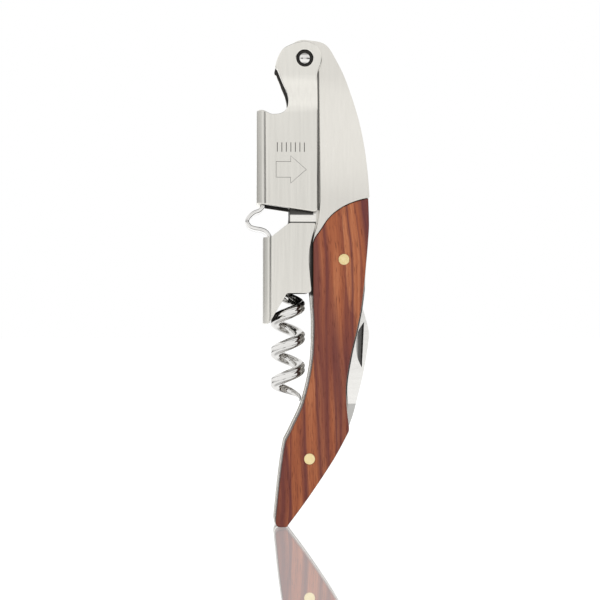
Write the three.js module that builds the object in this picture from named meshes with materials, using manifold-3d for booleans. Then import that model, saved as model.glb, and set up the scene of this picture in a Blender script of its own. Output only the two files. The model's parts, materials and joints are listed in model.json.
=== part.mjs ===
// Double-lever waiter's corkscrew, closed. Millimetres, +Z up from the tail's tip to the head,
// +X towards the handle's back (the side the knife folds into), -Y the front face.
import * as THREE from 'three';
import { mergeVertices } from 'three/addons/utils/BufferGeometryUtils.js';
import Module from 'manifold-3d';

const wasm = await Module();
wasm.setup();

// Pivot axes, all along Y
const leverPivot = { x: -0.8, z: 120.0 };
const wormPivot = { x: -2.9, z: 72.6 };
const knifePivot = { x: 0.3, z: 17.5 };
const upperPin = { x: 9.1, z: 68.2 };

// Distances from the middle plane
const linerInside = 1.7;
const linerOutside = 3.0;
const scaleInside = 3.05;
const scaleOutside = 6.25;
const bolsterOutside = 6.2;
const spacerHalf = 1.65;
const earInside = 3.4;
const bladeHalf = 0.8;

// Handle
const headRadius = 5.0;
const lugRadius = 3.6;
const rim = 0.27; // steel left showing round each wooden scale
const seam = 0.12; // between a scale and its bolster
const bolsterFoot = 84; // where the bolster starts to thin
const bolsterTop = 115.5; // where it is down to the liner

// Levers, bent from sheet
const sheet = 1.1;
const channelHalf = 6.05;
const earHalf = earInside + sheet;
const joggleStart = 105.9;
const joggleEnd = 115.6;
const upperWeb = -13.1;
const upperBend = 2.8;
const lowerWeb = -11.46;
const lowerBend = 2.5;
const stripHalf = 3.2;
const stripThickness = 1.0;

// Worm
const wormAxis = -4.95;
const coilRadius = 3.2;
const wireRadius = 1.5;
const pitch = 8.0;
const coilRightAt = 56.5; // a height where the wire is furthest to the right
const coilTop = 63.0;
const wormEnd = 32.0;
const eyeRadius = 3.0;
const eyeHalf = 1.55;

// Foil knife
const grindWidth = 3.0;
const serrationCount = 18;
const serrationRadius = 0.72;

// Pins and washers
const pinRadius = 1.35;
const rivetRadius = 1.2;
const rivetHeadRadius = 1.55;
const rivetRecess = 2.15;
const wormPinRadius = 1.4;
const wormPinHead = 2.2;
const linkRivetRadius = 1.0;
const fit = 0.1; // radial clearance of a pin in its hole

const curveSteps = 5;
const roundSides = 28;

const steel = new THREE.MeshStandardMaterial({ color: 0xc9c6c0, roughness: 0.32, metalness: 1 });
const polished = new THREE.MeshStandardMaterial({ color: 0xd4d2ce, roughness: 0.12, metalness: 1 });
const darkSteel = new THREE.MeshStandardMaterial({ color: 0x8d8a86, roughness: 0.4, metalness: 1 });
const rosewood = new THREE.MeshStandardMaterial({ color: 0x8f4426, roughness: 0.42, metalness: 0 });
const brass = new THREE.MeshStandardMaterial({ color: 0xd9b268, roughness: 0.3, metalness: 1 });

// ---- from three.js geometry to solids and back ----

function solid(geometry) {
  geometry.deleteAttribute('normal');
  geometry.deleteAttribute('uv');
  const merged = mergeVertices(geometry, 1e-4);
  const corners = merged.index.array;
  const triangles = [];
  for (let i = 0; i < corners.length; i += 3) {
    const [a, b, c] = corners.slice(i, i + 3);
    if (a !== b && b !== c && c !== a) triangles.push(a, b, c);
  }
  return new wasm.Manifold(new wasm.Mesh({
    numProp: 3,
    vertProperties: new Float32Array(merged.attributes.position.array),
    triVerts: new Uint32Array(triangles),
  }));
}

function part(name, body, material, at = { x: 0, z: 0 }) {
  const shell = body.getMesh();
  const geometry = new THREE.BufferGeometry();
  geometry.setAttribute('position', new THREE.BufferAttribute(shell.vertProperties, 3));
  geometry.setIndex(new THREE.BufferAttribute(shell.triVerts, 1));
  geometry.computeVertexNormals();
  const mesh = new THREE.Mesh(geometry, material);
  mesh.name = name;
  mesh.position.set(at.x, 0, at.z);
  return mesh;
}

// A front outline (x, z) given thickness from yLow to yHigh
function plate(shape, yLow, yHigh) {
  const depth = yHigh - yLow;
  const settings = { depth, bevelEnabled: false, curveSegments: curveSteps };
  const geometry = new THREE.ExtrudeGeometry(shape, settings);
  geometry.rotateX(Math.PI / 2);
  geometry.translate(0, yHigh, 0);
  return solid(geometry);
}

// A side outline (y, z) run along X
function sideBar(shape, xLow, xHigh) {
  const depth = xHigh - xLow;
  const geometry = new THREE.ExtrudeGeometry(shape, { depth, bevelEnabled: false, curveSegments: 8 });
  geometry.applyMatrix4(new THREE.Matrix4().set(0, 0, 1, xLow, 1, 0, 0, 0, 0, 1, 0, 0, 0, 0, 0, 1));
  return solid(geometry);
}

// A plan outline (x, y) run along Z
function column(shape, zLow, zHigh) {
  const depth = zHigh - zLow;
  const geometry = new THREE.ExtrudeGeometry(shape, { depth, bevelEnabled: false, curveSegments: 5 });
  geometry.translate(0, 0, zLow);
  return solid(geometry);
}

function rod(radius, yLow, yHigh, at = { x: 0, z: 0 }) {
  const geometry = new THREE.CylinderGeometry(radius, radius, yHigh - yLow, roundSides);
  geometry.translate(at.x, (yLow + yHigh) / 2, at.z);
  return solid(geometry);
}

function ring(outer, inner, yLow, yHigh) {
  return rod(outer, yLow, yHigh).subtract(rod(inner, yLow - 1, yHigh + 1));
}

// Half-profile (radius, y) turned round the Y axis
function turned(profile) {
  const points = profile.map(([radius, y]) => new THREE.Vector2(radius, y));
  return solid(new THREE.LatheGeometry(points, roundSides));
}

function points(...list) {
  return list.map(([x, z]) => new THREE.Vector2(x, z));
}

function polygon(...list) {
  return new THREE.Shape(points(...list));
}

// The outline moved inwards by distance; it must run counter-clockwise
function inset(shape, distance) {
  const all = shape.getPoints(curveSteps);
  const outline = all.filter((point, i) => point.distanceTo(all[(i + 1) % all.length]) > 0.1);
  const count = outline.length;
  return new THREE.Shape(outline.map((point, i) => {
    const along = outline[(i + 1) % count].clone().sub(outline[(i + count - 1) % count]).normalize();
    return new THREE.Vector2(point.x - along.y * distance, point.y + along.x * distance);
  }));
}

// ---- the handle ----

// Both liners: head, recess under the levers, worm lug, front edge, tail, knife side, back
function handleOutline() {
  const shape = new THREE.Shape();
  shape.moveTo(leverPivot.x, leverPivot.z + headRadius);
  shape.absarc(leverPivot.x, leverPivot.z, headRadius, Math.PI / 2, Math.PI, false);
  shape.quadraticCurveTo(-5.6, 115.5, -4.7, 112);
  shape.lineTo(-4.7, 79.5);
  shape.quadraticCurveTo(-4.8, 77, -5.9, 75.2);
  shape.absarc(wormPivot.x, wormPivot.z, lugRadius, Math.PI * 0.8, Math.PI * 1.7, false);
  shape.quadraticCurveTo(0.5, 68.5, 0.6, 66);
  shape.splineThru(points([0.65, 60], [1.2, 52], [0.75, 41.8], [-1.35, 32.2], [-4.0, 26.1], [-6.05, 22]));
  shape.splineThru(points([-6.7, 18.6], [-7.7, 10.9], [-8.6, 2]));
  shape.quadraticCurveTo(-8.75, 0, -7, 0);
  shape.lineTo(-5.9, 0);
  shape.quadraticCurveTo(-5.2, 0, -4.9, 0.6);
  shape.splineThru(points([0.45, 7.8], [6.6, 17], [10.3, 23.7]));
  shape.quadraticCurveTo(10.8, 24.6, 10.65, 25.6);
  shape.splineThru(points([10.05, 31.1], [9.95, 36.4], [11.2, 43.9], [12.85, 51], [14.15, 58.2],
    [15.55, 72.3], [15.8, 79.5], [15.1, 92], [13.4, 103.1], [10.2, 113.8], [7.3, 120], [4.4, 124],
    [leverPivot.x, leverPivot.z + headRadius]));
  return shape;
}

// The sweeping line where the wood stops, from the front edge up to the back
const woodLine = [[1.7, 73.9], [3.0, 75.7], [5.3, 79], [8.4, 81.5], [12.2, 83.2], [17, 84.4]];

function bolsterZone() {
  const shape = new THREE.Shape();
  shape.moveTo(1.15, 72.4);
  shape.splineThru(points(...woodLine));
  shape.lineTo(17, 127);
  shape.lineTo(3.08, 127);
  shape.lineTo(3.08, 83);
  shape.quadraticCurveTo(2.9, 78, 1.6, 74.6);
  return shape;
}

// Everything a scale keeps out of: above the wood line and in front of the lug
function noWoodZone() {
  const shape = new THREE.Shape();
  shape.moveTo(1.25, 55);
  shape.lineTo(1.25, 72.4 - seam);
  shape.splineThru(points(...woodLine.map(([x, z]) => [x + seam / 2, z - seam])));
  shape.lineTo(17, 127);
  shape.lineTo(-9, 127);
  shape.lineTo(-9, 55);
  return shape;
}

function pinHoles(body) {
  return body
    .subtract(rod(rivetRadius + fit, -9, 9, leverPivot))
    .subtract(rod(wormPinRadius + fit, -9, 9, wormPivot))
    .subtract(rod(pinRadius + fit, -9, 9, upperPin))
    .subtract(rod(pinRadius + fit, -9, 9, knifePivot));
}

function frame(name, side) {
  const from = side < 0 ? -linerOutside : linerInside;
  const liner = plate(handleOutline(), from, from + linerOutside - linerInside);
  const root = side * (linerOutside - 0.4);
  const low = Math.min(root, side * bolsterOutside);
  const block = plate(handleOutline(), low, low + bolsterOutside - linerOutside + 0.4)
    .intersect(plate(bolsterZone(), -9, 9));
  const thin = linerOutside + 0.02;
  const taper = new THREE.Shape(points([root, bolsterTop], [root, 60], [side * bolsterOutside, 60]));
  taper.lineTo(side * bolsterOutside, bolsterFoot);
  taper.bezierCurveTo(side * bolsterOutside, bolsterFoot + 8, side * (thin + 0.28), bolsterTop - 10,
    side * thin, bolsterTop);
  return part(name, pinHoles(liner.add(block.intersect(sideBar(taper, -20, 20)))), steel);
}

function scale(name, side) {
  const low = side < 0 ? -scaleOutside : scaleInside;
  const body = plate(inset(handleOutline(), rim), low, low + scaleOutside - scaleInside)
    .subtract(plate(noWoodZone(), -9, 9));
  return part(name, pinHoles(body), rosewood);
}

function headSpacer() {
  const zone = polygon([-8, 127], [-8, 118], [-4.3, 112], [-4.3, 80.5], [1.2, 77.5], [5, 73], [5.6, 61.5],
    [17, 61.5], [17, 127]);
  const body = plate(inset(handleOutline(), rim), -spacerHalf, spacerHalf).intersect(plate(zone, -9, 9));
  return part('head_spacer', pinHoles(body), darkSteel);
}

// A band of even thickness along a curve through (x, z) points
function band(list, thickness, steps) {
  const curve = new THREE.SplineCurve(points(...list));
  const sides = [1, -1].map((side) => Array.from({ length: steps + 1 }, (_, i) => {
    const along = curve.getTangentAt(i / steps);
    const shift = new THREE.Vector2(-along.y, along.x).multiplyScalar(side * thickness / 2);
    return curve.getPointAt(i / steps).add(shift);
  }));
  return new THREE.Shape([...sides[0], ...sides[1].reverse()]);
}

function backspring() {
  const route = [[3.3, 65], [2.9, 55], [2.5, 45], [1.0, 35], [-1.5, 27], [-3.9, 21.5], [-5.3, 15.4]];
  return part('backspring', plate(band(route, 2, 28), -spacerHalf, spacerHalf), darkSteel);
}

function tipSpacer() {
  const shape = polygon([-6.2, 13], [-7.0, 13], [-8.1, 1.4], [-6.4, 1.4], [-5.9, 7]);
  return part('tip_spacer', plate(shape, -spacerHalf, spacerHalf), darkSteel);
}

// ---- pins, washers and the lever rivet ----

function scalePin(name, at) {
  const half = scaleOutside - 0.03;
  return part(name, rod(pinRadius, -half, half), brass, at);
}

function leverRivet() {
  const seat = earHalf - 0.55;
  const crown = 0.85;
  const dome = [];
  for (let i = 0; i <= 6; i += 1) {
    const angle = (i / 6) * (Math.PI / 2);
    dome.push([rivetHeadRadius * Math.cos(angle), seat + crown * Math.sin(angle)]);
  }
  const top = [[rivetRadius, seat], ...dome.slice(0, 6), [0, seat + crown]];
  const bottom = top.map(([radius, y]) => [radius, -y]).reverse();
  return part('lever_rivet', turned([...bottom, ...top]), polished, leverPivot);
}

function wormPin() {
  const inner = linerOutside + 0.05;
  const outer = linerOutside + 0.75;
  const body = turned([[0, -outer], [wormPinHead, -outer], [wormPinHead, -inner], [wormPinRadius, -inner],
    [wormPinRadius, inner], [wormPinHead, inner], [wormPinHead, outer], [0, outer]]);
  return part('worm_pin', body, steel, wormPivot);
}

function washerPair(name, outer, inner, from, to, material, at) {
  return [
    part(`front_${name}`, ring(outer, inner, -to, -from), material, at),
    part(`rear_${name}`, ring(outer, inner, from, to), material, at),
  ];
}

// ---- the levers ----

// Cross-section of a channel open towards +X
function channelSection(web, bend, open) {
  const inner = bend - sheet;
  const insideHalf = channelHalf - sheet;
  const shape = new THREE.Shape();
  shape.moveTo(open, -channelHalf);
  shape.lineTo(open, -insideHalf);
  shape.lineTo(web + sheet + inner, -insideHalf);
  shape.absarc(web + bend, -insideHalf + inner, inner, -Math.PI / 2, -Math.PI, true);
  shape.lineTo(web + sheet, insideHalf - inner);
  shape.absarc(web + bend, insideHalf - inner, inner, Math.PI, Math.PI / 2, true);
  shape.lineTo(open, insideHalf);
  shape.lineTo(open, channelHalf);
  shape.lineTo(web + bend, channelHalf);
  shape.absarc(web + bend, channelHalf - bend, bend, Math.PI / 2, Math.PI, false);
  shape.lineTo(web, -channelHalf + bend);
  shape.absarc(web + bend, -channelHalf + bend, bend, Math.PI, Math.PI * 1.5, false);
  return shape;
}

// The channel's front outline, and the top of the web with the crown-cap notch's lower lip
function upperChannelOutline() {
  const shape = new THREE.Shape();
  shape.moveTo(-14, 82.6);
  shape.lineTo(-12.4, 82.4);
  shape.lineTo(1.2, 80.4);
  shape.quadraticCurveTo(2.42, 80.2, 2.42, 81.6);
  shape.lineTo(2.42, joggleStart);
  shape.lineTo(-6.3, joggleStart);
  shape.splineThru(points([-7.3, 105.45], [-9.2, 105.3], [-10.3, 105.7], [-11.4, 106.25], [-12.4, 106.45]));
  shape.lineTo(-14, 106.45);
  return shape;
}

// Each ear: neck, rivet eye and the pointed nub that hooks a crown cap
function earOutline() {
  const shape = new THREE.Shape();
  shape.moveTo(2.42, joggleStart - 0.5);
  shape.lineTo(2.42, 114.5);
  shape.quadraticCurveTo(2.5, 116.6, 3.35, 118.4);
  shape.absarc(leverPivot.x, leverPivot.z, 4.4, -0.37, Math.PI * 0.62, false);
  shape.splineThru(points([-4.4, 123.5], [-6.4, 122.3], [-7.7, 120.2], [-8.35, 118]));
  shape.quadraticCurveTo(-8.5, 117.2, -7.9, 117);
  shape.splineThru(points([-6.5, 113.5], [-5.5, 111.2], [-5.05, 109], [-5.35, 107], [-6.3, joggleStart],
    [-6.9, joggleStart - 0.5]));
  return shape;
}

// One ear's sheet seen from the side, stepping in from the channel's width to the head's
function joggle(side) {
  const shape = new THREE.Shape();
  const bottom = joggleStart - 1;
  const top = leverPivot.z + 8;
  const bend = (joggleEnd - joggleStart) / 2.4;
  shape.moveTo(side * channelHalf, bottom);
  shape.lineTo(side * channelHalf, joggleStart);
  shape.bezierCurveTo(side * channelHalf, joggleStart + bend, side * earHalf, joggleEnd - bend,
    side * earHalf, joggleEnd);
  shape.lineTo(side * earHalf, top);
  shape.lineTo(side * earInside, top);
  shape.lineTo(side * earInside, joggleEnd);
  shape.bezierCurveTo(side * earInside, joggleEnd - bend, side * (channelHalf - sheet), joggleStart + bend,
    side * (channelHalf - sheet), joggleStart);
  shape.lineTo(side * (channelHalf - sheet), bottom);
  return shape;
}

function linkHole(x, z) {
  const geometry = new THREE.CylinderGeometry(linkRivetRadius + fit, linkRivetRadius + fit, 8, 24);
  geometry.rotateZ(Math.PI / 2);
  geometry.translate(x, 0, z);
  return solid(geometry);
}

const upperLink = { x: upperWeb + sheet, z: 86.6 };
const lowerLink = { x: lowerWeb + sheet, z: 70.2 };

function upperLever() {
  const channel = column(channelSection(upperWeb, upperBend, 4), 79, 108)
    .intersect(plate(upperChannelOutline(), -9, 9));
  const ears = sideBar(joggle(-1), -12, 6).add(sideBar(joggle(1), -12, 6))
    .intersect(plate(earOutline(), -9, 9));
  const recess = rod(rivetRecess, -9, -earHalf + 0.6, leverPivot)
    .add(rod(rivetRecess, earHalf - 0.6, 9, leverPivot));
  const body = channel.add(ears)
    .subtract(rod(rivetRadius + 2 * fit, -9, 9, leverPivot))
    .subtract(recess)
    .subtract(linkHole(upperLink.x, upperLink.z));
  return part('upper_lever', body, steel);
}

function lowerLeverOutline() {
  const shape = new THREE.Shape();
  shape.moveTo(-13, 51.8);
  shape.lineTo(-10.5, 51.8);
  shape.quadraticCurveTo(-10, 51.8, -9.7, 52.3);
  shape.lineTo(-5.7, 59.1);
  shape.quadraticCurveTo(-5.4, 59.6, -4.8, 59.6);
  shape.lineTo(-0.3, 59.6);
  shape.quadraticCurveTo(0.85, 59.6, 0.78, 60.8);
  shape.splineThru(points([0.4, 65], [0.2, 68.5], [0.6, 72.4], [1.8, 76.9]));
  shape.quadraticCurveTo(1.95, 77.5, 1.3, 77.5);
  shape.lineTo(-4.3, 77.5);
  shape.quadraticCurveTo(-4.9, 77.5, -5.4, 77.1);
  shape.lineTo(-9.2, 74.1);
  shape.quadraticCurveTo(-9.5, 73.9, -10, 73.9);
  shape.lineTo(-13, 73.9);
  return shape;
}

function lowerLever() {
  const body = column(channelSection(lowerWeb, lowerBend, 4), 50, 80)
    .intersect(plate(lowerLeverOutline(), -9, 9))
    .subtract(linkHole(lowerLink.x, lowerLink.z));
  return part('lower_lever', body, steel);
}

// The strip that joins the levers: flat against each web, with a spring loop standing out between them
function linkSpring() {
  const lift = stripThickness / 2 + 0.06;
  const route = [[upperLink.x + lift, 90], [upperLink.x + lift, 86.5], [upperLink.x + lift, 83.4],
    [upperLink.x + lift - 0.06, 81.9], [-12.4, 80.9], [-13.7, 80.4], [-15.0, 79.3], [-15.53, 78.1],
    [-14.9, 76.9], [-13.6, 76.35], [-12.1, 76.1],
    [-10.7, 75.5], [lowerLink.x + lift + 0.1, 74], [lowerLink.x + lift, 71.5], [lowerLink.x + lift, 66.7]];
  const body = plate(band(route, stripThickness, 60), -stripHalf, stripHalf)
    .subtract(linkHole(upperLink.x, upperLink.z))
    .subtract(linkHole(lowerLink.x, lowerLink.z));
  return part('link_spring', body, polished);
}

// A rivet through a web and the strip, flush outside, with a low head on the strip
function linkRivet(name, web, link) {
  const outside = web - 0.02;
  const headFrom = link.x + stripThickness + 0.12;
  const headTo = headFrom + 0.5;
  const profile = points([0, outside], [linkRivetRadius, outside], [linkRivetRadius, headFrom],
    [1.7, headFrom], [1.5, headTo], [0, headTo]);
  const geometry = new THREE.LatheGeometry(profile, 24);
  geometry.rotateZ(-Math.PI / 2);
  return part(name, solid(geometry), polished, { x: 0, z: link.z });
}

// ---- the worm ----

// Height falls from the eye; the coil opens out of the shank and ends in a point
function wormRoute() {
  const route = [];
  const stepHeight = pitch / 16;
  for (let z = wormPivot.z - 1.2; z > coilTop + 5; z -= 1.2) route.push(new THREE.Vector3(wormPivot.x, 0, z));
  for (let z = coilTop + 4.5; z >= wormEnd - 0.01; z -= stepHeight) {
    const open = THREE.MathUtils.smoothstep(coilTop + 5 - z, 0, 5);
    const turn = 2 * Math.PI * (z - coilRightAt) / pitch;
    const middle = THREE.MathUtils.lerp(wormPivot.x, wormAxis, open);
    const reach = open * coilRadius;
    route.push(new THREE.Vector3(middle + reach * Math.cos(turn), reach * Math.sin(turn), z));
  }
  return new THREE.CatmullRomCurve3(route, false, 'centripetal');
}

function worm() {
  const path = wormRoute();
  const steps = 100;
  const round = new THREE.Shape().absarc(0, 0, wireRadius, 0, 2 * Math.PI, false);
  const geometry = new THREE.ExtrudeGeometry(round, { steps, extrudePath: path, curveSegments: 5 });
  const stations = path.getSpacedPoints(steps);
  const place = geometry.attributes.position;
  const vertex = new THREE.Vector3();
  const pointSteps = 11; // the last stretch, ground down to a point
  for (let i = 0; i < place.count; i += 1) {
    vertex.fromBufferAttribute(place, i);
    let nearest = 0;
    stations.forEach((station, k) => {
      if (vertex.distanceToSquared(station) < vertex.distanceToSquared(stations[nearest])) nearest = k;
    });
    const left = Math.min(1, (steps - nearest) / pointSteps);
    const width = 0.1 + 0.9 * Math.sin(left * Math.PI / 2);
    vertex.sub(stations[nearest]).multiplyScalar(width).add(stations[nearest]);
    place.setXYZ(i, vertex.x, vertex.y, vertex.z);
  }
  const body = solid(geometry)
    .add(rod(eyeRadius, -eyeHalf, eyeHalf, wormPivot))
    .subtract(rod(wormPinRadius + fit, -9, 9, wormPivot));
  return part('worm', body, polished);
}

// ---- the foil knife ----

const bladeTip = [13.2, 59.5];
const cuttingEdge = [[9.6, 54.4], [7.5, 47], [6.3, 38], [4.9, 30]];

function bladeOutline() {
  const shape = new THREE.Shape();
  const tang = 3.8;
  shape.moveTo(...bladeTip);
  shape.splineThru(points(...cuttingEdge, [2.4, 23.4]));
  shape.lineTo(knifePivot.x + tang * Math.cos(1.9), knifePivot.z + tang * Math.sin(1.9));
  shape.absarc(knifePivot.x, knifePivot.z, tang, 1.9, Math.PI * 1.67, false);
  shape.lineTo(10.1, 24.2);
  shape.quadraticCurveTo(10.8, 25, 11.1, 26);
  shape.splineThru(points([12.2, 29.3], [14.5, 38.5], [15.8, 45.8], [16.06, 48.9], [15.75, 51.2],
    [14.1, 57.2]));
  shape.quadraticCurveTo(13.7, 58.6, ...bladeTip);
  return shape;
}

function edgeCurve() {
  const route = [bladeTip, ...cuttingEdge].map(([x, z]) => new THREE.Vector3(x, 0, z));
  return new THREE.CatmullRomCurve3(route, false, 'catmullrom');
}

// What the grinding takes off one side, from the grind line down to the cutting edge
function ground(side) {
  const edgeHalf = 0.08;
  const slope = (bladeHalf - edgeHalf) / grindWidth;
  const past = 0.3;
  const section = polygon(
    [side * (edgeHalf - slope * past), past], [side * (bladeHalf + slope * past), -grindWidth - past],
    [side * 2, -grindWidth - past], [side * 2, past],
  );
  return solid(new THREE.ExtrudeGeometry(section, { steps: 24, extrudePath: edgeCurve() }));
}

function serrations(body) {
  const curve = edgeCurve();
  let cut = body;
  for (let i = 0; i < serrationCount; i += 1) {
    const along = 0.14 + (0.8 * i) / (serrationCount - 1);
    const place = curve.getPointAt(along);
    const way = curve.getTangentAt(along);
    const at = { x: place.x + 0.45 * way.z, z: place.z - 0.45 * way.x };
    cut = cut.subtract(rod(serrationRadius, -2, 2, at));
  }
  return cut;
}

function nickOutline() {
  const shape = new THREE.Shape();
  shape.moveTo(14.85, 52.3);
  shape.splineThru(points([13.3, 49.9], [12.7, 46.6], [13.1, 43], [14.25, 40.4]));
  shape.lineTo(14.85, 52.3);
  return shape;
}

function knifeBlade() {
  const body = plate(bladeOutline(), -bladeHalf, bladeHalf)
    .subtract(plate(nickOutline(), -9, -bladeHalf + 0.45))
    .subtract(rod(pinRadius + fit, -9, 9, knifePivot))
    .subtract(ground(1))
    .subtract(ground(-1));
  return part('knife_blade', serrations(body), steel);
}

// ---- assembly, one group for each body ----

function bodyOf(...parts) {
  return new THREE.Group().add(...parts.flat());
}

const handle = bodyOf(
  frame('front_frame', -1), frame('rear_frame', 1), scale('front_scale', -1), scale('rear_scale', 1),
  headSpacer(), backspring(), tipSpacer(), leverRivet(), wormPin(),
  scalePin('upper_scale_pin', upperPin), scalePin('knife_pivot_pin', knifePivot),
  washerPair('lever_washer', 3.6, rivetRadius + fit, linerOutside + 0.05, earInside - 0.05, brass,
    leverPivot),
  washerPair('knife_washer', 3.0, pinRadius + fit, bladeHalf + 0.05, linerInside - 0.05, brass, knifePivot),
);
const wormBody = bodyOf(worm());
const upperLeverBody = bodyOf(upperLever(), linkSpring(), linkRivet('upper_link_rivet', upperWeb, upperLink));
const lowerLeverBody = bodyOf(lowerLever(), linkRivet('lower_link_rivet', lowerWeb, lowerLink));
const knife = bodyOf(knifeBlade());

const corkscrew = new THREE.Group().add(handle, wormBody, upperLeverBody, lowerLeverBody, knife);

export default corkscrew;
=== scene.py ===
import bpy
import bmesh
import json
import math
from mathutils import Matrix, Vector


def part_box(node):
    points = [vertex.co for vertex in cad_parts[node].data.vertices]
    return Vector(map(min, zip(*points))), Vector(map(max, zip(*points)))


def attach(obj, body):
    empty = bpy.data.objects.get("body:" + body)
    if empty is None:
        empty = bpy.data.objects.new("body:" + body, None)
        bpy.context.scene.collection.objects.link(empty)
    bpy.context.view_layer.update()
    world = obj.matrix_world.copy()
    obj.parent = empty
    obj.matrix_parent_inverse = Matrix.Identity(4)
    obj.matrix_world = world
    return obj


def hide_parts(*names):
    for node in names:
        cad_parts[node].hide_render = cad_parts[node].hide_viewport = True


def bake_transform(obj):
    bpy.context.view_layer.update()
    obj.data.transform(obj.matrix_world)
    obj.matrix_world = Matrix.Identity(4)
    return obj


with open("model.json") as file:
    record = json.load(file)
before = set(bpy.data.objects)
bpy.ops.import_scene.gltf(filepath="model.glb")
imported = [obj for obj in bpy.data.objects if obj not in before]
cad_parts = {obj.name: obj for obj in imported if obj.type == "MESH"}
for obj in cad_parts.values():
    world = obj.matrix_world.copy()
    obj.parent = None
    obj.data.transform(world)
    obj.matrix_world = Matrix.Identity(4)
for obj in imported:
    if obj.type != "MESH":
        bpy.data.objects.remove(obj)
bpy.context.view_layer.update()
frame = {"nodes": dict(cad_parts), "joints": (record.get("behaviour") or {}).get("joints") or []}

mm = 0.001
joints = {joint["name"]: Vector(joint["pos_m"]) for joint in frame["joints"]}


# shader building: a Value is one output, and arithmetic on it adds Math nodes

class Value:
    def __init__(self, shader, socket):
        self.shader = shader
        self.socket = socket

    def worked(self, operation, first, second):
        return self.shader.node("ShaderNodeMath", {0: first, 1: second}, operation=operation)

    def __add__(self, other):
        return self.worked("ADD", self, other)

    def __radd__(self, other):
        return self.worked("ADD", other, self)

    def __sub__(self, other):
        return self.worked("SUBTRACT", self, other)

    def __rsub__(self, other):
        return self.worked("SUBTRACT", other, self)

    def __mul__(self, other):
        return self.worked("MULTIPLY", self, other)

    def __rmul__(self, other):
        return self.worked("MULTIPLY", other, self)

    def __truediv__(self, other):
        return self.worked("DIVIDE", self, other)


class Shader:
    def __init__(self, name=None, world=None):
        self.owner = world or bpy.data.materials.new(name)
        self.owner.use_nodes = True
        self.tree = self.owner.node_tree
        self.tree.nodes.clear()

    def node(self, kind, inputs=None, out=0, **settings):
        made = self.tree.nodes.new(kind)
        stops = settings.pop("stops", None)
        for key, setting in settings.items():
            setattr(made, key, setting)
        if stops:
            ramp = made.color_ramp
            while len(ramp.elements) < len(stops):
                ramp.elements.new(1.0)
            for element, (place, colour) in zip(ramp.elements, stops):
                element.position = place
                element.color = (*colour, 1) if isinstance(colour, tuple) else (colour, colour, colour, 1)
        for key, value in (inputs or {}).items():
            if isinstance(value, Value):
                self.tree.links.new(value.socket, made.inputs[key])
            else:
                made.inputs[key].default_value = value
        return Value(self, made.outputs[out]) if made.outputs else None

    def place(self, scale=(1, 1, 1)):
        spot = self.node("ShaderNodeTexCoord", out=3)          # Object coordinates
        return self.node("ShaderNodeMapping", {"Vector": spot, "Scale": scale})

    def parts(self, vector):
        split = self.tree.nodes.new("ShaderNodeSeparateXYZ")
        self.tree.links.new(vector.socket, split.inputs[0])
        return [Value(self, socket) for socket in split.outputs]

    def attribute(self, name):
        return self.node("ShaderNodeAttribute", out=2, attribute_name=name)

    def noise(self, vector, scale, detail=3.0, roughness=0.5):
        return self.node("ShaderNodeTexNoise", {"Vector": vector, "Scale": scale, "Detail": detail,
                                                "Roughness": roughness})

    def ramp(self, value, stops):
        return self.node("ShaderNodeValToRGB", {"Fac": value}, stops=stops)

    def mix(self, factor, first, second, blend="MIX"):
        return self.node("ShaderNodeMix", {0: factor, 6: first, 7: second}, out=2,
                         data_type="RGBA", blend_type=blend)

    def bump(self, height, strength, distance):
        return self.node("ShaderNodeBump", {"Height": height, "Strength": strength, "Distance": distance})

    def surface(self, inputs):
        shell = self.node("ShaderNodeBsdfPrincipled", inputs)
        self.node("ShaderNodeOutputMaterial", {"Surface": shell})
        return self.owner


# materials

# near black, mixed into the steel as painted shade in gaps and recesses, and onto the tang and the lip
nearBlack = (0.012, 0.011, 0.010, 1)
paintedHighlightSteel = (0.97, 0.95, 0.90, 1)


def insideBox(shader, gap):
    x, y, z = shader.parts(shader.place())
    y = shader.node("ShaderNodeMath", {0: y}, operation="ABSOLUTE")
    within = None
    for value, (low, high) in ((x, gap["x"]), (y, gap["y"]), (z, gap["z"])):
        for limit, way in ((low, 1), (high, -1)):
            near = shader.node("ShaderNodeMapRange", {
                0: (value - limit * mm) * way, 1: -0.5 * gap["soft"] * mm, 2: 0.5 * gap["soft"] * mm,
                3: 0.0, 4: 1.0})
            within = near if within is None else within * near
    return within


def brushedSteel(name, values):
    steel = Shader(name)
    lines = steel.noise(steel.place(scale=values["grain"]), 1.0, detail=4.0, roughness=0.6)
    clouds = steel.noise(steel.place(), 90.0, detail=2.0)
    dark, light = values["colours"]
    colour = steel.mix(steel.ramp(lines, [(0.3, 0.0), (0.7, 1.0)]), (*dark, 1), (*light, 1))
    # painted highlight: listed boxes are mixed towards a light steel colour
    for area in values.get("paintedHighlight", []):
        colour = steel.mix(insideBox(steel, area) * area["depth"], colour, paintedHighlightSteel)
    # listed boxes are darkened towards near black; most of them are painted shade
    for gap in values.get("darkened", []):
        colour = steel.mix(insideBox(steel, gap) * gap["depth"], colour, nearBlack)
    # the pushed-out lip is darkened towards near black
    if "lip" in values:
        colour = steel.mix(steel.attribute("lip") * values["lip"], colour, nearBlack)
    return steel.surface({
        "Base Color": colour,
        "Metallic": 1.0,
        "Roughness": values["roughness"] + values["spread"] * (lines - 0.5) + 0.05 * (clouds - 0.5),
        "Normal": steel.bump(lines, values["bump"], 0.00004),
    })


def polishedSteel(name, values):
    steel = Shader(name)
    marks = steel.noise(steel.place(), 700.0, detail=3.0)
    wear = steel.noise(steel.place(), 160.0, detail=2.0)
    colour = steel.mix(wear, (*values["colours"][0], 1), (*values["colours"][1], 1))
    return steel.surface({
        "Base Color": colour,
        "Metallic": 1.0,
        "Roughness": values["roughness"] + 0.06 * (wear - 0.5) + 0.04 * (marks - 0.5),
        "Normal": steel.bump(marks, 0.04, 0.00005),
    })


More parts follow.
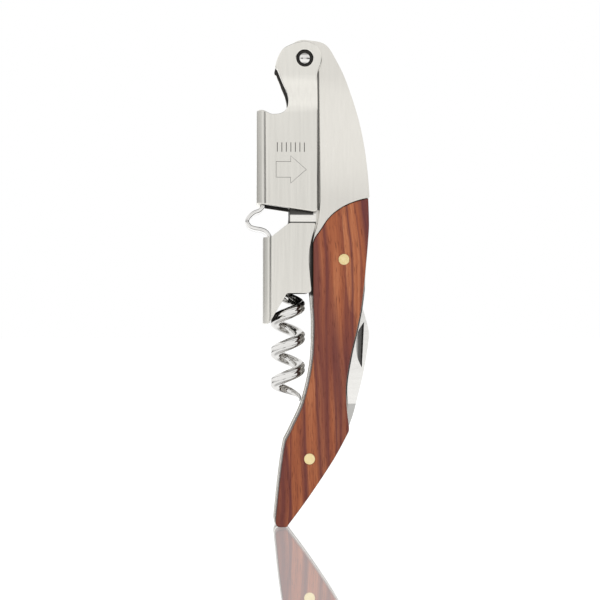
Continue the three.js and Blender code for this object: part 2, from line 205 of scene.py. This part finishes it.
rosewoodValues = {
    "bands": [(0.20, (0.16, 0.032, 0.020)), (0.36, (0.27, 0.062, 0.026)), (0.50, (0.38, 0.105, 0.038)),
              (0.62, (0.50, 0.170, 0.070)), (0.76, (0.72, 0.36, 0.19))],
    "vein": (0.115, 0.022, 0.026), "pore": (0.11, 0.022, 0.012), "seam": (0.020, 0.008, 0.006),
    "seamDark": 0.92, "toneGrain": (300, 12), "fineGrain": (2100, 55), "ringGrain": (120, 9, 5.7),
    "lineGrain": (215, 8, 3.3), "poreGrain": (4600, 340), "sway": 2.4 * mm, "swayScale": 21.0,
    "ripple": 0.22 * mm, "rippleScale": 420.0, "lean": 0.05, "rings": 5.0, "roughness": 0.42,
}


def rosewood():
    values = rosewoodValues
    wood = Shader("rosewood")
    bend = wood.noise(wood.place(scale=(0.4, 0.5, 1)), values["swayScale"], detail=1.0)
    ripple = wood.noise(wood.place(scale=(1, 1, 0.3)), values["rippleScale"], detail=2.0)
    x, y, z = wood.parts(wood.place())
    across = (x + values["lean"] * z + (bend - 0.5) * 2.0 * values["sway"]
              + (ripple - 0.5) * 2.0 * values["ripple"])

    def grain(wide, long, shift=0.0):
        return wood.node("ShaderNodeCombineXYZ", {0: across * wide + shift, 1: y * wide * 0.6, 2: z * long})

    tone = wood.noise(grain(*values["toneGrain"]), 1.0, detail=4.0, roughness=0.65)
    fine = wood.noise(grain(*values["fineGrain"]), 1.0, detail=3.0, roughness=0.65)
    rings = wood.noise(grain(*values["ringGrain"]), 1.0, detail=1.0) * values["rings"]
    ring = wood.node("ShaderNodeMath", {0: rings}, operation="FRACT")
    colour = wood.ramp(tone * 0.48 + fine * 0.42 + ring * 0.10, values["bands"])
    edge = wood.ramp(ring, [(0.0, 0.90), (0.07, 0.50), (0.28, 0.0), (0.95, 0.0), (1.0, 0.90)])
    colour = wood.mix(edge * wood.ramp(tone, [(0.35, 1.0), (0.60, 0.25)]), colour, (*values["vein"], 1))
    lines = wood.noise(grain(*values["lineGrain"]), 1.0, detail=1.0)
    ridge = 1.0 - wood.node("ShaderNodeMath", {0: (lines - 0.5) * 15.0}, operation="ABSOLUTE")
    ridge = wood.node("ShaderNodeMapRange", {0: ridge, 1: 0.0, 2: 0.9, 3: 0.0, 4: 0.78})
    colour = wood.mix(ridge, colour, (*values["vein"], 1))
    pores = wood.noise(grain(*values["poreGrain"]), 1.0, detail=1.0)
    pores = wood.ramp(pores, [(0.60, 0.0), (0.68, 1.0)])
    colour = wood.mix(pores * 0.55, colour, (*values["pore"], 1))
    # painted shade along the scale's edges, strongest beside the bolster
    colour = wood.mix(wood.attribute("seam") * values["seamDark"], colour, (*values["seam"], 1))
    return wood.surface({
        "Base Color": colour,
        "Roughness": values["roughness"] + 0.12 * (fine - 0.5) + 0.2 * pores,
        "Specular IOR Level": 0.30,
        "Coat Weight": 0.06,
        "Coat Roughness": 0.25,
        "Normal": wood.bump(fine * 0.3 - pores, 0.20, 0.00005),
    })


def brassFinish():
    brass = Shader("brass")
    wear = brass.noise(brass.place(), 900.0, detail=3.0)
    colour = brass.mix(wear, (0.78, 0.60, 0.25, 1), (1.0, 0.88, 0.55, 1))
    return brass.surface({
        "Base Color": colour,
        "Metallic": 1.0,
        "Roughness": 0.30 + 0.2 * (wear - 0.5),
        "Normal": brass.bump(wear, 0.08, 0.00004),
    })


def markInk():
    ink = Shader("etched_mark")
    speck = ink.noise(ink.place(), 2500.0)
    return ink.surface({
        "Base Color": ink.mix(speck, (0.035, 0.032, 0.030, 1), (0.07, 0.065, 0.06, 1)),
        "Metallic": 0.3,
        "Roughness": 0.6 + 0.1 * (speck - 0.5),
    })


# places where the steel colour is painted darker or lighter, in mm; y is measured both ways from the middle
# plane

# painted shade: dark lines in the gaps beside the levers and the wood, and along the end and top of the link
# plate
leverGap = {"x": (2.55, 3.0), "y": (-1, 6.0), "z": (81.0, 117.0), "soft": 0.15, "depth": 0.82}
woodGap = {"x": (0.45, 1.75), "y": (-1, 3.3), "z": (59.0, 77.0), "soft": 0.55, "depth": 0.95}
stepGap = {"x": (-4.8, 2.2), "y": (-1, 3.3), "z": (77.35, 78.05), "soft": 0.20, "depth": 0.90}
linkEnd = {"x": (-5.2, -4.50), "y": (-1, 3.3), "z": (77.5, 81.2), "soft": 0.15, "depth": 0.85}
linkTop = {"x": (-5.2, 1.5), "y": (-1, 3.3), "z": (79.80, 81.30), "soft": 0.20, "depth": 0.90}
# painted highlight: the link plate between the levers is painted lighter
linkPlate = {"x": (-5.2, 2.2), "y": (-1, 3.3), "z": (77.9, 80.2), "soft": 0.20, "depth": 0.85}
# painted shade in the nail nick
nickShade = {"x": (12.4, 14.95), "y": (-1, 0.62), "z": (40.0, 52.6), "soft": 0.20, "depth": 0.85}
# the tang near the handle is painted darker
tangPatch = {"x": (4, 20), "y": (-1, 2.0), "z": (8.0, 31.1), "soft": 0.20, "depth": 0.42}
# painted shade: a dark ring round the rivet head in its well
rivetWell = {"x": (-2.97, 1.37), "y": (-1, 4.42), "z": (117.83, 122.17), "soft": 0.05, "depth": 0.97}

finishes = {
    "lever": brushedSteel("satin_lever_steel", {
        "colours": ((0.775, 0.755, 0.700), (0.825, 0.805, 0.750)), "grain": (1900, 1900, 55),
        "roughness": 0.20, "spread": 0.07, "bump": 0.05, "darkened": [rivetWell]}),
    "frame": brushedSteel("satin_bolster_steel", {
        "colours": ((0.75, 0.727, 0.675), (0.785, 0.762, 0.71)), "grain": (1500, 1500, 45),
        "roughness": 0.26, "spread": 0.06, "bump": 0.04, "paintedHighlight": [linkPlate], "lip": 0.95,
        "darkened": [leverGap, woodGap, stepGap, linkEnd, linkTop]}),
    "blade": brushedSteel("ground_blade_steel", {
        "colours": ((0.76, 0.75, 0.72), (0.83, 0.82, 0.79)), "grain": (160, 900, 1400),
        "roughness": 0.18, "spread": 0.08, "bump": 0.06, "darkened": [tangPatch, nickShade]}),
    # painted shade: near-black steel for the inner faces of the lever channels
    "channelShade": brushedSteel("channel_shade_steel", {
        "colours": ((0.05, 0.048, 0.045), (0.09, 0.086, 0.08)), "grain": (500, 500, 300),
        "roughness": 0.5, "spread": 0.15, "bump": 0.10}),
    "inner": brushedSteel("plain_inner_steel", {
        "colours": ((0.38, 0.37, 0.35), (0.50, 0.48, 0.46)), "grain": (400, 400, 400),
        "roughness": 0.42, "spread": 0.15, "bump": 0.12}),
    "polished": polishedSteel("polished_steel", {
        "colours": ((0.66, 0.65, 0.63), (0.80, 0.79, 0.77)), "roughness": 0.12}),
    "wood": rosewood(),
    "brass": brassFinish(),
    "mark": markInk(),
}
print("materials made")


# shared modelling steps

def only(piece):
    bpy.ops.object.select_all(action="DESELECT")
    piece.select_set(True)
    bpy.context.view_layer.objects.active = piece


def copyOf(nodeName, pieceName, merge=0.12 * mm):
    piece = bpy.data.objects.new(pieceName, frame["nodes"][nodeName].data.copy())
    bpy.context.scene.collection.objects.link(piece)
    only(piece)
    bpy.ops.object.mode_set(mode="EDIT")
    bpy.ops.mesh.select_all(action="SELECT")
    bpy.ops.mesh.remove_doubles(threshold=merge)
    bpy.ops.mesh.dissolve_limited(angle_limit=math.radians(0.4))
    bpy.ops.object.mode_set(mode="OBJECT")
    return piece


def softenEdges(piece, width, segments, wanted=None, sharper=28, clamp=True):
    only(piece)
    bpy.ops.object.mode_set(mode="EDIT")
    bpy.ops.mesh.select_all(action="DESELECT")
    bpy.ops.mesh.select_mode(type="EDGE")
    shell = bmesh.from_edit_mesh(piece.data)
    for edge in shell.edges:
        middle = (edge.verts[0].co + edge.verts[1].co) / 2
        sharp = len(edge.link_faces) == 2 and edge.calc_face_angle() > math.radians(sharper)
        edge.select_set(bool(sharp and (wanted is None or wanted(middle))))
    bmesh.update_edit_mesh(piece.data)
    bpy.ops.mesh.bevel(offset=width, offset_type="OFFSET", segments=segments, affect="EDGES",
                       clamp_overlap=clamp, miter_outer="ARC")
    bpy.ops.object.mode_set(mode="OBJECT")


def acrossDisc(place, size, sides):
    radius, depth = size
    bpy.ops.mesh.primitive_cylinder_add(vertices=sides, radius=radius, depth=depth, location=place,
                                        rotation=(math.pi / 2, 0, 0))
    return bpy.context.object


def finishPiece(piece, material, body, replaced=(), angle=32):
    only(piece)
    bpy.ops.object.transform_apply(location=True, rotation=True, scale=True)
    bpy.ops.object.shade_smooth_by_angle(angle=math.radians(angle))
    normals = piece.modifiers.new("even", "WEIGHTED_NORMAL")
    normals.keep_sharp = True
    bpy.ops.object.modifier_apply(modifier=normals.name)
    piece.data.materials.clear()
    piece.data.materials.append(material)
    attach(piece, body)
    if replaced:
        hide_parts(*replaced)
    return piece


# camera, level with the middle of the tool and a little to its left

cameraValues = {"distance": 0.30, "frameWidth": 0.1541, "aim": (-1.95 * mm, -3 * mm, 57.9 * mm),
                "left": 3.2, "below": 1.0}


def setCamera():
    values = cameraValues
    aim = Vector(values["aim"])
    turn, dip = math.radians(values["left"]), math.radians(values["below"])
    toCamera = Vector((-math.sin(turn) * math.cos(dip), -math.cos(turn) * math.cos(dip), -math.sin(dip)))
    data = bpy.data.cameras.new("camera")
    data.sensor_width = 36
    data.lens = data.sensor_width * values["distance"] / values["frameWidth"]
    data.clip_start = 0.01
    camera = bpy.data.objects.new("camera", data)
    camera.location = aim + toCamera * values["distance"]
    camera.rotation_euler = (-toCamera).to_track_quat("-Z", "Y").to_euler()
    bpy.context.scene.collection.objects.link(camera)
    bpy.context.scene.camera = camera


setCamera()
print("camera set")


# the wooden scales

scaleValues = {"edge": 0.40 * mm, "segments": 4, "pinClear": 2.2 * mm, "seamDepth": 0.30 * mm,
               "toBolster": (-0.55, 0.83), "facing": 0.15, "otherSides": 0.25, "onFace": 0.05 * mm}


# painted shade: edge vertices below the outer face get a darkness weight, full where they face the bolster
def paintSeamShade(piece, face):
    values = scaleValues
    seam = piece.data.attributes.new("seam", "FLOAT", "POINT")
    for vertex in piece.data.vertices:
        sunk = min(1.0, abs(vertex.co.y - face) / values["seamDepth"])
        flat = Vector((vertex.normal.x, vertex.normal.z))
        facing = flat.dot(Vector(values["toBolster"])) if flat.length > 0.2 else 0.0
        seam.data[vertex.index].value = sunk * (1.0 if facing > values["facing"] else values["otherSides"])


def scaleShell(side, name):
    values = scaleValues
    piece = copyOf(name, f"{name}_wood")
    low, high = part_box(name)
    face = low.y if side < 0 else high.y
    pins = [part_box("upper_scale_pin"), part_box("knife_pivot_pin")]
    centres = [((a.x + b.x) / 2, (a.z + b.z) / 2) for a, b in pins]

    def outerRim(middle):
        clear = all(math.hypot(middle.x - x, middle.z - z) > values["pinClear"] for x, z in centres)
        return clear and abs(middle.y - face) < values["onFace"]

    softenEdges(piece, values["edge"], values["segments"], outerRim, clamp=False)
    paintSeamShade(piece, face)
    return finishPiece(piece, finishes["wood"], "handle", (name,), angle=40)


scaleShell(-1, "front_scale")
scaleShell(1, "rear_scale")
print("scales shaped")


# frames, with their bolsters

frameValues = {"edge": 0.14 * mm, "segments": 3, "lip": 0.36 * mm, "from": 28 * mm, "to": 64.5 * mm,
               "fade": 3 * mm, "near": 1.5 * mm, "deep": 0.6 * mm, "markReach": 0.42 * mm}


def pushLip(piece):
    # beside the folded knife the frame stands out past the wood as a narrow lip, which the frame finish
    # paints darker
    values = frameValues
    places = [(vertex.co.x, vertex.co.z) for vertex in piece.data.vertices]
    moves = []
    for vertex in piece.data.vertices:
        x, z = vertex.co.x, vertex.co.z
        outermost = max(a for a, b in places if abs(b - z) < values["near"])
        level = min(z - values["from"], values["to"] - z) / values["fade"]
        out = Vector((vertex.normal.x, 0, vertex.normal.z))
        if level > 0 and x > outermost - values["deep"] and out.length > 0.2 and out.x > 0:
            moves.append((vertex, out.normalized() * values["lip"] * min(1.0, level)))
    for vertex, move in moves:
        vertex.co += move
    return [(vertex.co.copy(), move.length / values["lip"]) for vertex, move in moves]


def frameShell(name):
    values = frameValues
    piece = copyOf(name, f"{name}_shell")
    moved = pushLip(piece)
    softenEdges(piece, values["edge"], values["segments"])
    marks = piece.data.attributes.new("lip", "FLOAT", "POINT")
    for vertex in piece.data.vertices:
        near = [level for place, level in moved if (place - vertex.co).length < values["markReach"]]
        marks.data[vertex.index].value = max(near, default=0.0)
    return finishPiece(piece, finishes["frame"], "handle", (name,))


frameShell("front_frame")
frameShell("rear_frame")
print("frames shaped")


# the two folded levers

leverValues = {"upperEdge": 0.26 * mm, "lowerEdge": 0.14 * mm, "segments": 4,
               "cheekInside": 5.05 * mm, "webReach": 3.0 * mm}


def leverShell(name, body, edge, clamp):
    values = leverValues
    piece = copyOf(name, f"{name}_shell")
    softenEdges(piece, edge, values["segments"], clamp=clamp)
    finishPiece(piece, finishes["lever"], body, (name,))
    # inner faces of the cheeks and the back of the web get the painted-shade finish
    piece.data.materials.append(finishes["channelShade"])
    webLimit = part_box(name)[0].x + values["webReach"]
    for face in piece.data.polygons:
        inward = face.center.y * face.normal.y < 0 and abs(face.normal.y) > 0.5
        webBack = face.normal.x > 0.5 and abs(face.center.y) < values["cheekInside"]
        if inward or (webBack and face.center.x < webLimit):
            face.material_index = 1
    return piece


leverShell("upper_lever", "upper_lever_arm", leverValues["upperEdge"], False)
leverShell("lower_lever", "lower_lever_arm", leverValues["lowerEdge"], True)
print("levers shaped")


# the foil knife

bladeValues = {"merge": 0.05 * mm, "edge": 0.14 * mm, "segments": 2, "nickFrom": 12.6 * mm,
               "nickMargin": 0.2 * mm, "nickLow": 39.5 * mm, "nickHigh": 53 * mm, "nickFloor": 0.45 * mm,
               "floorBand": 0.02 * mm, "nickShallow": 0.04 * mm, "nickTilt": 17.5}


def bladeShell():
    values = bladeValues
    piece = copyOf("knife_blade", "knife_blade_ground", values["merge"])
    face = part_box("knife_blade")[0].y
    slope = math.tan(math.radians(values["nickTilt"]))

    def inNick(place):
        beyond = place.x > values["nickFrom"] - values["nickMargin"]
        return beyond and values["nickLow"] < place.z < values["nickHigh"] and place.y < 0

    # the floor of the nail nick falls from its curved side to its straight wall
    for vertex in piece.data.vertices:
        if inNick(vertex.co) and abs(vertex.co.y - face - values["nickFloor"]) < values["floorBand"]:
            vertex.co.y = face + values["nickShallow"] + slope * (vertex.co.x - values["nickFrom"])
    softenEdges(piece, values["edge"], values["segments"], lambda middle: not inNick(middle))
    return finishPiece(piece, finishes["blade"], "knife", ("knife_blade",))


bladeShell()
print("knife shaped")


# the grooved worm, swept along its helix

wormValues = {
    "pitch": 8.0 * mm, "coil": 3.2 * mm, "wire": 1.5 * mm, "axis": -4.95 * mm, "rightAt": 56.5 * mm,
    "top": 63.0 * mm, "bottom": 32.0 * mm, "opening": 5.0 * mm, "perTurn": 40, "pointTurns": 0.62,
    "grooveWidth": 0.55 * mm, "grooveDepth": 0.42 * mm, "sides": 28, "shankDrops": (1.6, 2.6, 3.6),
    "firstDrop": 0.5 * mm, "tipWidth": 0.06, "eye": (3.0 * mm, 3.1 * mm), "hole": (1.5 * mm, 9.0 * mm),
}


def wormPoints():
    values = wormValues
    pivot = joints["worm_swing"]
    start = values["top"] + values["opening"]
    first = start - values["firstDrop"]
    pointList = [(Vector((pivot.x, 0, pivot.z - drop * mm)), 1.0) for drop in values["shankDrops"]]
    step = values["pitch"] / values["perTurn"]
    count = int(round((first - values["bottom"]) / step))
    for k in range(count + 1):
        z = first - k * step
        part = min(1.0, (start - z) / values["opening"])
        opened = part * part * (3 - 2 * part)
        turn = 2 * math.pi * (z - values["rightAt"]) / values["pitch"]
        x = pivot.x + (values["axis"] - pivot.x) * opened + opened * values["coil"] * math.cos(turn)
        left = (z - values["bottom"]) / (values["pitch"] * values["pointTurns"])
        width = values["tipWidth"] + (1 - values["tipWidth"]) * math.sin(min(1.0, left) * math.pi / 2)
        pointList.append((Vector((x, opened * values["coil"] * math.sin(turn), z)), width))
    return pointList


def grooveProfile():
    values = wormValues
    bpy.ops.curve.primitive_bezier_circle_add(radius=values["wire"])
    profile = bpy.context.object
    profile.name = "worm_profile"
    curve = profile.data
    curve.splines.clear()
    spline = curve.splines.new("POLY")
    sides = values["sides"]
    spline.points.add(sides - 1)
    for k in range(sides):
        angle = 2 * math.pi * k / sides
        across = values["wire"] * math.sin(angle)
        dip = values["grooveDepth"] * math.exp(-(across / values["grooveWidth"]) ** 2)
        if math.cos(angle) >= 0:
            dip = 0
        radius = values["wire"] - dip
        spline.points[k].co = (radius * math.cos(angle), radius * math.sin(angle), 0, 1)
    spline.use_cyclic_u = True
    return profile


def wormPiece():
    values = wormValues
    profile = grooveProfile()
    curve = bpy.data.curves.new("worm_wire", "CURVE")
    curve.dimensions = "3D"
    curve.twist_mode = "Z_UP"
    curve.bevel_mode = "OBJECT"
    curve.bevel_object = profile
    curve.use_fill_caps = True
    pointList = wormPoints()
    spline = curve.splines.new("POLY")
    spline.points.add(len(pointList) - 1)
    for point, (place, width) in zip(spline.points, pointList):
        point.co = (*place, 1)
        point.radius = width
    wire = bpy.data.objects.new("worm_steel", curve)
    bpy.context.scene.collection.objects.link(wire)
    only(wire)
    bpy.ops.object.convert(target="MESH")
    wire = bpy.context.object
    bpy.data.objects.remove(profile)
    eye = acrossDisc(joints["worm_swing"], values["eye"], 64)
    hole = acrossDisc(joints["worm_swing"], values["hole"], 48)
    for other, operation in ((eye, "UNION"), (hole, "DIFFERENCE")):
        only(wire)
        step = wire.modifiers.new("join", "BOOLEAN")
        step.operation = operation
        step.object = other
        step.solver = "EXACT"
        bpy.ops.object.modifier_apply(modifier=step.name)
        bpy.data.objects.remove(other)
    return finishPiece(wire, finishes["polished"], "worm_arm", ("worm",), angle=38)


wormPiece()
print("worm swept")


# the spring strip between the levers

stripValues = {"edge": 0.40 * mm, "segments": 4, "bendStart": 1.0 * mm, "bendEnd": 2.5 * mm}


def stripPiece():
    values = stripValues
    piece = copyOf("link_spring", "link_spring_strip")
    softenEdges(piece, values["edge"], values["segments"], sharper=50, clamp=False)
    only(piece)
    bpy.ops.object.shade_smooth_by_angle(angle=math.radians(40))
    piece.data.materials.clear()
    piece.data.materials.append(finishes["polished"])
    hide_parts("link_spring")
    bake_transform(piece)
    return piece


stripPiece()
print("strip made")


# pins, rivets and washers

pinValues = {"overlap": 0.08 * mm, "edge": 0.12 * mm, "segments": 3}


def brassPin(name):
    values = pinValues
    low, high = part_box(name)
    radius = (high.x - low.x) / 2 + values["overlap"]           # all but fills its hole in the wood
    middle = [(a + b) / 2 for a, b in zip(low, high)]
    piece = acrossDisc(middle, (radius, high.y - low.y), 64)
    piece.name = f"{name}_brass"
    softenEdges(piece, values["edge"], values["segments"], sharper=60)
    return finishPiece(piece, finishes["brass"], "handle", (name,))


brassPin("upper_scale_pin")
brassPin("knife_pivot_pin")


rivetValues = {"shank": 1.2 * mm, "head": 1.55 * mm, "seat": 3.95 * mm, "crown": 0.85 * mm,
               "steps": 10, "sides": 56}


def leverRivet():
    values = rivetValues
    pivot = joints["lever_swing"]
    bpy.ops.mesh.primitive_circle_add(vertices=values["sides"], radius=values["shank"],
                                      rotation=(math.pi / 2, 0, 0), fill_type="NOTHING",
                                      location=(pivot.x, -values["seat"], pivot.z))
    piece = bpy.context.object
    piece.name = "lever_rivet_domed"
    bpy.ops.object.transform_apply(location=True, rotation=True, scale=True)
    rings = [(values["head"], -values["seat"])]
    for k in range(1, values["steps"]):
        angle = k / values["steps"] * math.pi / 2
        rings.append((values["head"] * math.cos(angle), -values["seat"] - values["crown"] * math.sin(angle)))
    bpy.ops.object.mode_set(mode="EDIT")
    bpy.ops.mesh.select_all(action="SELECT")
    radius, level = values["shank"], -values["seat"]
    for nextRadius, nextLevel in rings:
        bpy.ops.mesh.extrude_region_move(TRANSFORM_OT_translate={"value": (0, nextLevel - level, 0)})
        bpy.ops.transform.resize(value=(nextRadius / radius,) * 3,
                                 center_override=(pivot.x, nextLevel, pivot.z))
        radius, level = nextRadius, nextLevel
    bpy.ops.mesh.edge_face_add()
    bpy.ops.object.mode_set(mode="OBJECT")
    half = piece.modifiers.new("pair", "MIRROR")
    half.use_axis = (False, True, False)
    half.use_mirror_merge = False
    bpy.ops.object.modifier_apply(modifier=half.name)
    bpy.ops.object.mode_set(mode="EDIT")
    bpy.ops.mesh.select_all(action="DESELECT")
    bpy.ops.mesh.select_mode(type="EDGE")
    bpy.ops.mesh.select_non_manifold()
    bpy.ops.mesh.bridge_edge_loops()
    bpy.ops.mesh.select_all(action="SELECT")
    bpy.ops.mesh.normals_make_consistent(inside=False)
    bpy.ops.object.mode_set(mode="OBJECT")
    return finishPiece(piece, finishes["polished"], "handle", ("lever_rivet",), angle=50)


leverRivet()

plainNodes = {
    "head_spacer": "inner", "backspring": "inner", "tip_spacer": "inner", "worm_pin": "lever",
    "front_lever_washer": "brass", "rear_lever_washer": "brass", "front_knife_washer": "brass",
    "rear_knife_washer": "brass", "upper_link_rivet": "polished", "lower_link_rivet": "polished",
}
for nodeName, finish in plainNodes.items():
    node = frame["nodes"][nodeName]
    node.data.materials.clear()
    node.data.materials.append(finishes[finish])
print("fasteners made")


# etched arrow and thumb marks on each cheek of the upper lever

arrowValues = {"tail": -8.2 * mm, "tip": -0.5 * mm, "headAt": -4.5 * mm, "middle": 91.1 * mm,
               "headHalf": 3.5 * mm, "shaftHalf": 2.0 * mm, "line": 0.34 * mm, "depth": 0.04 * mm,
               "strokes": 7, "strokeFrom": -7.9 * mm, "strokeGap": 1.15 * mm, "strokeLow": 95.6 * mm,
               "strokeHigh": 98.0 * mm}


def etchedLine(cornerList, face, closed):
    curve = bpy.data.curves.new("etched", "CURVE")
    curve.dimensions = "3D"
    spline = curve.splines.new("POLY")
    spline.points.add(len(cornerList) - 1)
    for point, (x, z) in zip(spline.points, cornerList):
        point.co = (x, face, z, 1)
    spline.use_cyclic_u = closed
    curve.bevel_depth = arrowValues["line"] / 2
    curve.bevel_resolution = 1
    curve.use_fill_caps = not closed
    line = bpy.data.objects.new("etched", curve)
    bpy.context.scene.collection.objects.link(line)
    only(line)
    bpy.ops.object.convert(target="MESH")
    return bpy.context.object


def cheekMarks(side, pieceName):
    values = arrowValues
    low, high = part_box("upper_lever")
    face = (low.y if side < 0 else high.y) - side * (values["line"] / 2 - values["depth"])
    middle, shaft, head = values["middle"], values["shaftHalf"], values["headHalf"]
    outline = [(values["tail"], middle - shaft), (values["headAt"], middle - shaft),
               (values["headAt"], middle - head), (values["tip"], middle), (values["headAt"], middle + head),
               (values["headAt"], middle + shaft), (values["tail"], middle + shaft)]
    lineList = [etchedLine(outline, face, True)]
    for k in range(values["strokes"]):
        x = values["strokeFrom"] + k * values["strokeGap"]
        lineList.append(etchedLine([(x, values["strokeLow"]), (x, values["strokeHigh"])], face, False))
    bpy.ops.object.select_all(action="DESELECT")
    for line in lineList:
        line.select_set(True)
    bpy.context.view_layer.objects.active = lineList[0]
    bpy.ops.object.join()
    piece = bpy.context.object
    piece.name = pieceName
    return finishPiece(piece, finishes["mark"], "upper_lever_arm")


cheekMarks(-1, "front_arrow_mark")
cheekMarks(1, "rear_arrow_mark")
print("marks etched")


# white table, soft lights and the room that the steel reflects

roomValues = {
    "around": [(0.0, 1.05), (0.05, 1.05), (0.075, 0.30), (0.11, 0.30), (0.14, 0.42), (0.30, 0.55),
               (0.345, 0.80), (0.385, 0.80), (0.400, 0.04), (0.438, 0.03), (0.455, 0.98), (0.475, 0.86),
               (0.50, 0.785), (0.545, 0.79), (0.575, 0.08), (0.78, 0.05), (0.83, 0.50), (0.88, 0.35),
               (0.935, 0.45), (0.95, 1.05), (1.0, 1.05)],
    "upward": [(0.0, 0.8), (0.42, 0.9), (0.49, 1.0), (0.53, 1.0), (0.60, 1.15), (0.70, 1.35), (0.86, 1.30),
               (0.92, 0.5), (0.97, 0.5), (1.0, 0.9)],
    "lift": [(0.57, 0.0), (0.65, 1.0)], "liftTo": (0.80, 0.80, 0.80, 1),
    "floorHalf": 3.0, "floorDrop": 0.05 * mm, "shine": 0.75, "shineTo": 0.09, "goneBy": 0.27,
}


def glossyTable():
    values = roomValues
    bpy.ops.mesh.primitive_plane_add(size=2 * values["floorHalf"], location=(0, 0, -values["floorDrop"]))
    table = bpy.context.object
    table.name = "table"
    gloss = Shader("white_gloss")
    spot = gloss.node("ShaderNodeTexCoord", out=3)
    near = gloss.node("ShaderNodeVectorMath", {0: spot}, out=1, operation="LENGTH")
    fade = gloss.node("ShaderNodeMapRange", {0: near, 1: values["shineTo"], 2: values["goneBy"],
                                             3: values["shine"], 4: 0.0})
    body = gloss.node("ShaderNodeBsdfPrincipled", {
        "Base Color": (0.20, 0.20, 0.20, 1), "Roughness": 0.6, "Specular IOR Level": 0.0,
        "Emission Color": (1, 1, 1, 1), "Emission Strength": 1.0})
    mirror = gloss.node("ShaderNodeBsdfGlossy", {"Color": (1, 1, 1, 1), "Roughness": 0.02})
    both = gloss.node("ShaderNodeMixShader", {0: fade, 1: body, 2: mirror})
    gloss.node("ShaderNodeOutputMaterial", {"Surface": both})
    table.data.materials.append(gloss.owner)


def studioRoom():
    values = roomValues
    room = Shader(world=bpy.data.worlds.new("studio"))
    bpy.context.scene.world = room.owner
    x, y, z = room.parts(room.node("ShaderNodeTexCoord", out=0))
    aside = room.node("ShaderNodeMath", {0: x, 1: -1.0 * y}, operation="ARCTAN2")   # 0 at the front
    turn = aside / (2 * math.pi) + 0.5                                             # right of it is above 0.5
    height = z * 0.5 + 0.5
    around = room.ramp(turn, values["around"])
    upward = room.ramp(height, values["upward"])
    around = room.mix(room.ramp(height, values["lift"]), around, values["liftTo"])
    light = room.mix(1.0, around, upward, blend="MULTIPLY")
    seen = room.node("ShaderNodeLightPath", out=0)
    paint = room.mix(seen, light, (1, 1, 1, 1))
    glow = room.node("ShaderNodeBackground", {"Color": paint, "Strength": 1.0})
    room.node("ShaderNodeOutputWorld", {"Surface": glow})


def softbox(name, place, aim, size, power):
    data = bpy.data.lights.new(name, "AREA")
    data.shape = "RECTANGLE"
    data.size, data.size_y = size
    data.energy = power
    lamp = bpy.data.objects.new(name, data)
    lamp.location = place
    lamp.rotation_euler = (Vector(aim) - Vector(place)).to_track_quat("-Z", "Y").to_euler()
    lamp.visible_glossy = False
    bpy.context.scene.collection.objects.link(lamp)


glossyTable()
studioRoom()
softbox("left_softbox", (-0.55, -0.45, 0.35), (0, 0, 0.07), (0.35, 0.6), 0.45)
softbox("right_softbox", (0.60, -0.35, 0.40), (0, 0, 0.07), (0.30, 0.6), 0.55)
softbox("top_softbox", (0.0, -0.10, 0.75), (0, 0, 0.06), (0.6, 0.5), 0.95)
bpy.context.scene.view_settings.view_transform = "Standard"
print("stage set")
